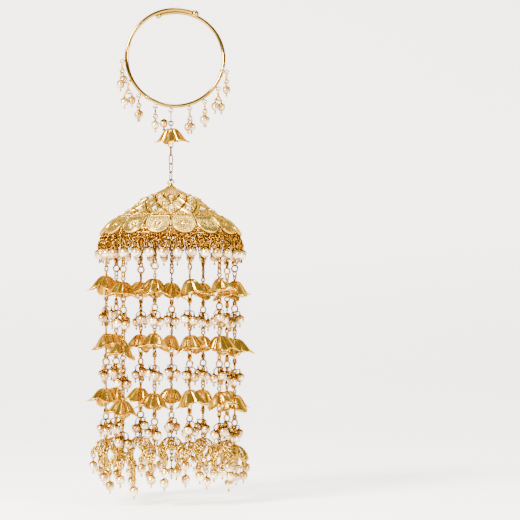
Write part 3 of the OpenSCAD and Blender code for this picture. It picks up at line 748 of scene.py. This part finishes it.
def band_relief(r, angle):
    """Diamonds: u counts stones round the dome, v the rows. Grooves run where u + v or u - v is a
    whole number and a half. Round each diamond's middle are rings of grains 1.15 mm apart."""
    u = (angle - np.radians(STONE_TURN)) * REPEATS / (2 * np.pi)
    v = (r - STONE_ROWS[0, 0]) / (STONE_ROWS[1, 0] - STONE_ROWS[0, 0])
    p, q = u + v, u - v
    slope = np.hypot(REPEATS / (2 * np.pi * r), 1 / 11.5)
    groove = np.minimum(np.abs(p - np.floor(p) - 0.5), np.abs(q - np.floor(q) - 0.5)) / slope
    cell_p, cell_q = np.round(p), np.round(q)
    across = (u - (cell_p + cell_q) / 2) * 2 * np.pi * r / REPEATS
    down = (v - (cell_p - cell_q) / 2) * 11.5
    away = np.hypot(across, down)
    round_it = np.arctan2(down, across)
    ring_no = np.maximum(np.round((away - 0.2) / 1.15), 1)
    grains = bead_ring(r, away - ring_no * 1.15 - 0.2, np.round(ring_no * 5.5) * round_it, 0.6, 0.3)
    plain = (cell_p - cell_q) % 2 == 1
    boss = np.where(plain, 0.75 * np.sqrt(np.clip(1 - (away / 1.15) ** 2, 0, 1)), 0)
    height = np.maximum(grains, boss) * np.clip((groove - 0.75) / 0.3, 0, 1)
    height = height + 0.42 * np.exp(-((groove - 0.72) / 0.26) ** 2)
    return height - 0.55 * np.exp(-(groove / 0.36) ** 2)


def skirt_relief(r, angle):
    """Rows of small grains under the lobes."""
    return 0.25 * np.cos(r * 2 * np.pi / 1.2) * np.cos(160 * angle)


def dome_wall(r_from, r_to, rows, columns, relief):
    """A closed ring of the wall. The outside is the profile plus relief along its normal, and the
    inside is the profile a wall's thickness lower."""
    r = np.linspace(r_from, r_to, rows)
    angle = np.linspace(0, 2 * np.pi, columns, endpoint=False)[None, :]
    depth = dome_profile(r)
    slope = np.gradient(depth, r)
    length = np.hypot(1, slope)
    height = relief(r[:, None], angle + np.pi / 2)
    edge = np.clip(np.minimum(r - r_from, r_to - r) / 0.3, 0, 1)[:, None]
    height = height * edge
    out_r = r[:, None] + height * (slope / length)[:, None]
    out_z = DOME_TOP - depth[:, None] + height * (1 / length)[:, None]
    few = np.linspace(0, rows - 1, 6).round().astype(int)[::-1]
    in_r = np.broadcast_to(r[few][:, None], (len(few), columns))
    in_z = np.broadcast_to((DOME_TOP - depth[few] - WALL_T)[:, None], (len(few), columns))
    radius = np.concatenate([out_r, in_r])
    z = np.concatenate([out_z, in_z])
    points = np.stack([radius * np.cos(angle), radius * np.sin(angle), z], -1)
    # Painted shading: the higher the relief, the lighter; grooves get painted shade, grains and
    # bosses painted highlight, the inside a flat dark level
    painted_shading = np.concatenate([0.28 + 1.5 * height, np.full(in_r.shape, 0.3)])
    return shell(points, [grid_faces(len(points), columns, True, True)[:, ::-1]],
                 np.clip(painted_shading, 0, 1).ravel())


piece("dome_cap", dome_wall(0.6, 13.0, 84, 384, cap_relief), stamped_gold, "drop",
      ["dome"])
piece("dome_band", dome_wall(13.0, 34.6, 104, 640, band_relief), stamped_gold, "drop",
      ["dome"])
piece("dome_skirt", dome_wall(34.6, 43.0, 24, 320, skirt_relief), stamped_gold, "drop",
      ["dome"])
print("dome wall:", {k: v for k, v in made_triangles.items() if k.startswith("dome")})

# %% [markdown]
# Sixteen round tongues hang from a twisted rope and make the scalloped rim. Each is a small
# plate with a raised edge and rings of grains round a boss. Ropes are two wires wound round each
# other: each wire is a circle that runs round a larger circle as it goes.

# %% Lobes, ropes and settings
LOBE_D = 14.7
LOBE_STEPS = 72


def lobe():
    """A tongue: below its middle a half circle, above it straight sides up to the rope. Every
    point is a share of the way to that outline, so the rings of grains follow it. The top end
    bends down by 0.02 y^2 to lie on the dome."""
    share = np.linspace(0, 1, 32)
    angle = np.linspace(0, 2 * np.pi, LOBE_STEPS, endpoint=False)[None, :]
    half_w = LOBE_D / 2 + 0.35
    up = np.clip(np.sin(angle), 0, 1)
    across = np.abs(np.cos(angle))
    straight = np.minimum((half_w - 0.75 * up) / np.maximum(across, 1e-3),
                          7.0 / np.maximum(up, 1e-3))
    outline = np.where(up > 0, straight, half_w)
    r = share * half_w
    top = 0.55 + 0.55 * np.exp(-((r - half_w + 0.5) / 0.4) ** 2) \
        + 0.8 * np.sqrt(np.clip(1 - (r / 1.5) ** 2, 0, 1)) \
        - 0.5 * np.clip((r - half_w + 0.25) / 0.25, 0, 1)
    rise = 0 * angle * r[:, None]
    for ring_r in (2.5, 3.7, 4.9, 6.1):
        count = round(2 * np.pi * ring_r / 1.15)
        rise = np.maximum(
            rise, bead_ring(r[:, None], r[:, None] - ring_r, count * angle, 0.6, 0.55))
    height = (top[:, None] + rise)[1:]
    radius = np.concatenate([share[1:, None] * outline, outline, outline - 1.0, outline * 0.1])
    low = np.full((3, LOBE_STEPS), -0.9)
    y = radius * np.sin(angle)
    height_all = np.concatenate([height, low]) - 0.02 * np.clip(y, 0, None) ** 2
    grid = np.stack([radius * np.cos(angle), y, height_all], -1).reshape(-1, 3)
    rows = len(radius)
    j = np.arange(LOBE_STEPS)
    poles = np.array([[0, 0, top[0]], [0, 0, -0.9]])
    after = (j + 1) % LOBE_STEPS
    last_row = (rows - 1) * LOBE_STEPS
    start = np.stack([np.full(LOBE_STEPS, rows * LOBE_STEPS), j, after], 1)
    end = np.stack([np.full(LOBE_STEPS, rows * LOBE_STEPS + 1), last_row + after, last_row + j], 1)
    # Painted shading by height: painted highlight on the raised edge, boss and grains, painted
    # shade in the hollows, a flat dark underside
    painted_shading = np.concatenate([(0.2 + 1.0 * (height - 0.55)).ravel(), np.full(3 * LOBE_STEPS, 0.3),
                           [0.9, 0.3]])
    return shell(np.concatenate([grid, poles]),
                 [grid_faces(rows, LOBE_STEPS, False, True), start, end], np.clip(painted_shading, 0, 1))


def on_dome(angle, r, depth, slope):
    """Places and turns for pieces that stand on the wall: turned by angle, tipped by the slope."""
    angle = np.atleast_1d(angle)
    turn = turned(z=angle)
    place = np.einsum("mij,j->mi", turn, [0, -r, DOME_TOP - depth])
    return place, turn @ turned(x=slope)


def twisted_rope(radius, z, wires, wind, wire, steps):
    """Wires wound round a circle: radius + wind cos(n a + phase), z + wind sin(n a + phase)."""
    a = np.linspace(0, 2 * np.pi, steps, endpoint=False)
    turns = round(steps / 10)
    strands = []
    for k in range(wires):
        phase = turns * a + 2 * np.pi * k / wires
        r = radius + wind * np.cos(phase)
        path = np.stack([r * np.cos(a), r * np.sin(a), z + wind * np.sin(phase)], 1)
        # Painted light: each wire is painted lighter on one side and darker on the other as it
        # winds
        strands.append(sweep(path, wire, 5, closed=True, painted_shading=0.5 + 0.35 * np.cos(phase - 0.8)))
    return joined(strands)


sixteen = np.arange(REPEATS) * 360.0 / REPEATS
piece("dome_lobes", copies(lobe(), *on_dome(sixteen + 180 / REPEATS, 40.6, 25.3, 50)), stamped_gold,
      "drop", ["dome"])
ropes = [twisted_rope(33.5, DOME_TOP - 19.0, 2, 0.34, 0.42, 900),
         twisted_rope(35.6, DOME_TOP - 20.4, 2, 0.34, 0.42, 900),
         twisted_rope(13.0, DOME_TOP - 4.9, 2, 0.26, 0.34, 360)]
piece("dome_ropes", joined(ropes), filigree_gold, "drop", ["dome"])


def setting(d):
    """A bezel for a stone: a turned wall round it, and eight small claws over its edge."""
    outline = np.array([[d / 2 + 0.5, -0.5], [d / 2 + 0.5, 0.75], [d / 2 + 0.3, 0.95],
                        [d / 2 + 0.1, 0.8], [d / 2 + 0.1, 0.1], [d / 2 - 0.6, 0.0],
                        [d / 2 - 0.6, -0.5]])
    turn = np.linspace(0, 2 * np.pi, 24, endpoint=False)
    wall = np.stack(np.broadcast_arrays(
        outline[:, :1] * np.cos(turn), outline[:, :1] * np.sin(turn), outline[:, 1:]), -1)
    around = np.radians(45.0 * np.arange(8) + 22.5)
    claws = np.stack([(d / 2 + 0.05) * np.cos(around), (d / 2 + 0.05) * np.sin(around),
                      0 * around + 1.0], 1)
    return joined([shell(wall, [grid_faces(7, 24, True, True)[:, ::-1]], 0.6),
                   copies(ball(1), claws, sizes=0.36)])


settings = [copies(setting(row[3]), *on_dome(sixteen + STONE_TURN, row[0], row[1], row[2]))
            for row in STONE_ROWS]
# A leaf of three grains fills each gap between two lobes, and a bead closes it below
grain_at = np.array([[0, -1.0, 0.4], [-1.1, 0.9, 0.3], [1.1, 0.9, 0.3], [0, 0.9, 0.8]])
gap_leaf = joined([copies(ball(2), grain_at, sizes=[0.75, 0.6, 0.6, 0.6]),
                   copies(ball(2), [0, -2.6, 0.3], sizes=0.9)])
settings.append(copies(gap_leaf, *on_dome(sixteen, 42.0, 27.6, 56)))
piece("dome_settings", joined(settings), filigree_gold, "drop", ["dome"])

# %% The dome's finial
finial_outline = [[0, 3.4], [0.9, 3.3], [1.25, 2.4], [1.1, 1.5], [1.6, 1.1], [2.4, 0.7], [2.4, 0.2],
                  [3.4, -0.2], [4.2, -0.9], [0, -1.1]]
collar = np.radians(36.0 * np.arange(10))
finial = joined([
    copies(ring(1.9, 0.5, 32, 10), [0, 0, -110.3]),
    copies(round_plate(finial_outline[::-1], 28), [0, 0, DOME_TOP]),
    copies(ball(2), np.stack([2.6 * np.cos(collar), 2.6 * np.sin(collar),
                              0 * collar + DOME_TOP + 0.3], 1), sizes=0.62),
])
piece("dome_finial", finial, filigree_gold, "drop", ["dome"])
print("dome in all:", sum(v for k, v in made_triangles.items() if k.startswith("dome")))

# %% [markdown]
# Below the rim hangs a dense fringe of small rings, each linked into the next, that carries the
# rim's pearls. Rings that face outwards and rings seen edge-on alternate, which gives the dark and
# light stripes of the photograph. The solids hold three plain rows of wire in their place.

# %% The rim's fringe
RIM_Z = -144.4
RIM_PEARLS = 32
RIM_PEARL_R = 45.5
RIM_PEARL_Z = -157.0
RIM_PEARL_D = 6.2
CARRIER_Z = RIM_Z - 2.6
fringe = []
rng = np.random.default_rng(11)
fringe_link = oval(4.9, 2.7, 0.44, 12, 5)
# One row of rings each: radius, height from the rim, and how many rings
rows = [(42.9, -1.6, 84), (43.9, -3.3, 88), (44.8, -5.4, 72), (45.3, -7.3, 64)]
for k, (r, below, count) in enumerate(rows):
    angle = 360.0 / count * (np.arange(count) + 0.5 * (k % 2))
    turn = turned(z=angle)
    places = np.einsum("mij,j->mi", turn, [0, -r, RIM_Z + below])
    across = np.where((np.arange(count) + k) % 2 == 0, 65.0, -25.0) + rng.uniform(-20, 20, count)
    lean = rng.uniform(-9, 9, count)
    fringe.append(copies(fringe_link, places, turn @ turned(y=lean, z=across)))
fringe.append(sweep(circle_path(43.4, 160)[:, [0, 2, 1]] + [0, 0, RIM_Z - 0.1], 0.6, 8, True))
fringe.append(sweep(circle_path(STRAND_RING_R, 120)[:, [0, 2, 1]] + [0, 0, CARRIER_Z],
                    0.6, 8, True))
for k in range(len(STRANDS)):
    turn = turned(z=STRANDS[k, 0] + 14)[0]
    ends = np.array([[0, -STRAND_RING_R, CARRIER_Z], [0, -42.6, RIM_Z - 2.0],
                     [0, -43.8, RIM_Z - 1.3]])
    fringe.append(sweep(ends @ turn.T, 0.5, 6, up=turn @ [1, 0, 0]))
thirty_two = (np.arange(RIM_PEARLS) + 0.5) * 360 / RIM_PEARLS
rim_turn = turned(z=thirty_two)
rim_at = np.einsum("mij,j->mi", rim_turn, [0, -RIM_PEARL_R, RIM_PEARL_Z])
fringe.append(copies(headpin(RIM_PEARL_D), rim_at, rim_turn))
fringe_shell = joined(fringe)
piece("rim_rings", fringe_shell, reddish_findings, "drop", ["rim_fringe"])
print("the fringe has", made_triangles["rim_rings"], "triangles")

# %% [markdown]
# Eight small drops hang from the bangle's eyes: a long link, a ring, and one or two pearls on
# bent wires. The eyes stand outside the bangle's wire all round its lower half.

# %% The bangle's drops
HOOP = np.array([2.7, 0, -29.8783])
EYE_RING_R = 34.1
BANGLE_DROPS = np.array([
    [-94.3, 2, 70, 3.6], [-117.9, 2, 25, 1.2], [-136.8, 2, 80, 0.8], [-158.1, 2, 90, 0.6],
    [164.0, 2, 65, 0.6], [146.1, 2, 75, 0.4], [125.9, 2, 40, 0.0], [105.4, 1, 90, 0.0],
])
DROP_CLUSTER_R = 2.6
DROP_H = 11.9
BANGLE_PEARL_D = 5.0
drop_pin = headpin(BANGLE_PEARL_D)
parts = []
for eye_angle, pearls, turn, lower_by in BANGLE_DROPS:
    a = np.radians(eye_angle)
    eye = HOOP + EYE_RING_R * np.array([np.sin(a), 0, np.cos(a)])
    drop = [copies(oval(4.5, 2.1, 0.6, 20, 7), [0, 0, -2.8], turned(z=90)),
            copies(ring(1.2, 0.6, 20, 7), [0, 0, -6.2])]
    for i in range(int(pearls)):
        way = np.radians(turn + 180 * i)
        r = 0 if pearls == 1 else DROP_CLUSTER_R
        at = np.array([r * np.cos(way), r * np.sin(way), -DROP_H - lower_by * i])
        drop.append(copies(drop_pin, at, turned(z=60 * i + eye_angle)))
        end = at + [0, 0, BANGLE_PEARL_D / 2 + 2.35]
        start = np.array([0.02 * np.cos(way), 0.02 * np.sin(way), -7.2])
        if r:
            drop.append(hanger(start, end, 0.5))
    parts.append(copies(joined(drop), eye))
piece("bangle_drops", joined(parts), filigree_gold, "bangle", ["bangle_drop_wires"])
print("added triangles in all:", sum(made_triangles.values()))

# %% [markdown]
# The photograph is taken from a metre away, slightly above the ornament's middle, with the
# ornament left of the picture's middle, because its twin hung beside it. The background is lit
# white from behind. A soft light from the upper left gives the gold its lights, a weaker one from
# the right opens the shadows, and the room is warm brown below to keep the undersides amber.

# %% Camera
camera_data = bpy.data.cameras.new("camera")
camera_data.lens = 123.9
camera_data.sensor_width = 36.0
camera_data.clip_end = 20.0
camera = bpy.data.objects.new("camera", camera_data)
bpy.context.scene.collection.objects.link(camera)
camera.location = (0.0, -1.145, -0.208)
aim = Vector((0.0572, 0.0, -0.1599))
camera.rotation_euler = (aim - camera.location).to_track_quat("-Z", "Y").to_euler()
bpy.context.scene.camera = camera

# %% Floor, backdrop and light


def lit_paper():
    """White paper, lit through from behind: its glow grows from a little in front of the ornament
    to a lot behind it, by the way back in metres."""
    material, tree, shader, place = new_material("white paper lit from behind")
    shader.inputs["Base Color"].default_value = colour("#FFFFFF")
    shader.inputs["Roughness"].default_value = 0.7
    shader.inputs["Emission Color"].default_value = colour("#FFFFFF")
    back = node(tree, "ShaderNodeSeparateXYZ", Vector=place).outputs["Y"]
    glow = node(tree, "ShaderNodeMapRange", Value=back, From_Min=-0.5, From_Max=-0.13,
                To_Min=0.05, To_Max=1.8)
    tree.links.new(glow.outputs["Result"], shader.inputs["Emission Strength"])
    return material


def sweep_backdrop():
    """Floor and backdrop in one: flat, then a quarter circle of 0.3 m, then upright."""
    floor_z = -0.3135
    bend = np.linspace(0, np.pi / 2, 24)
    y = np.concatenate([[-2.5], 1.5 + 0.3 * np.sin(bend), [1.8]])
    z = np.concatenate([[0], 0.3 * (1 - np.cos(bend)), [2.2]]) + floor_z
    x = np.array([-2.5, 2.5])
    points = np.stack(np.broadcast_arrays(x[None, :], y[:, None], z[:, None]), -1).reshape(-1, 3)
    mesh = bpy.data.meshes.new("backdrop")
    mesh.from_pydata(points.tolist(), [], grid_faces(len(y), 2)[:, ::-1].tolist())
    mesh.polygons.foreach_set("use_smooth", np.ones(len(mesh.polygons), bool))
    mesh.materials.append(lit_paper())
    made = bpy.data.objects.new("backdrop", mesh)
    bpy.context.scene.collection.objects.link(made)


def soft_light(name, place, target, size, power, code):
    """A square area light that looks from its place to a target."""
    data = bpy.data.lights.new(name, "AREA")
    data.size = size
    data.energy = power
    data.color = colour(code)[:3]
    made = bpy.data.objects.new(name, data)
    bpy.context.scene.collection.objects.link(made)
    made.location = place
    made.rotation_euler = (Vector(target) - Vector(place)).to_track_quat("-Z", "Y").to_euler()


sweep_backdrop()
MIDDLE = (0.0, 0.0, -0.17)
soft_light("key", (-0.8, -0.9, 0.55), MIDDLE, 0.42, 105.0, "#FFF6E4")
soft_light("fill", (1.0, -0.8, 0.1), MIDDLE, 0.26, 24.0, "#FFEFD4")
soft_light("top", (0.1, -0.1, 0.9), MIDDLE, 0.35, 8.0, "#FFFFFF")
# The room: white above, warm brown below, so that metal facing down stays amber
world = bpy.data.worlds.new("studio")
world.use_nodes = True
sky = world.node_tree
seen = sky.nodes.new("ShaderNodeTexCoord").outputs["Generated"]
upwards = node(sky, "ShaderNodeSeparateXYZ", Vector=seen).outputs["Z"]
share = node(sky, "ShaderNodeMapRange", Value=upwards, From_Min=-0.6, From_Max=0.6)
room = node(sky, "ShaderNodeValToRGB", Fac=share.outputs["Result"])
room.color_ramp.elements[0].color = colour("#4A300E")
room.color_ramp.elements[1].color = colour("#FFF4E2")
level = room.color_ramp.elements.new(0.5)
level.color = colour("#A8844E")
background = sky.nodes["Background"]
sky.links.new(room.outputs["Color"], background.inputs["Color"])
background.inputs["Strength"].default_value = 0.45
bpy.context.scene.world = world

# %% The camera's place and the end
print("camera at", tuple(round(c, 3) for c in camera.location))
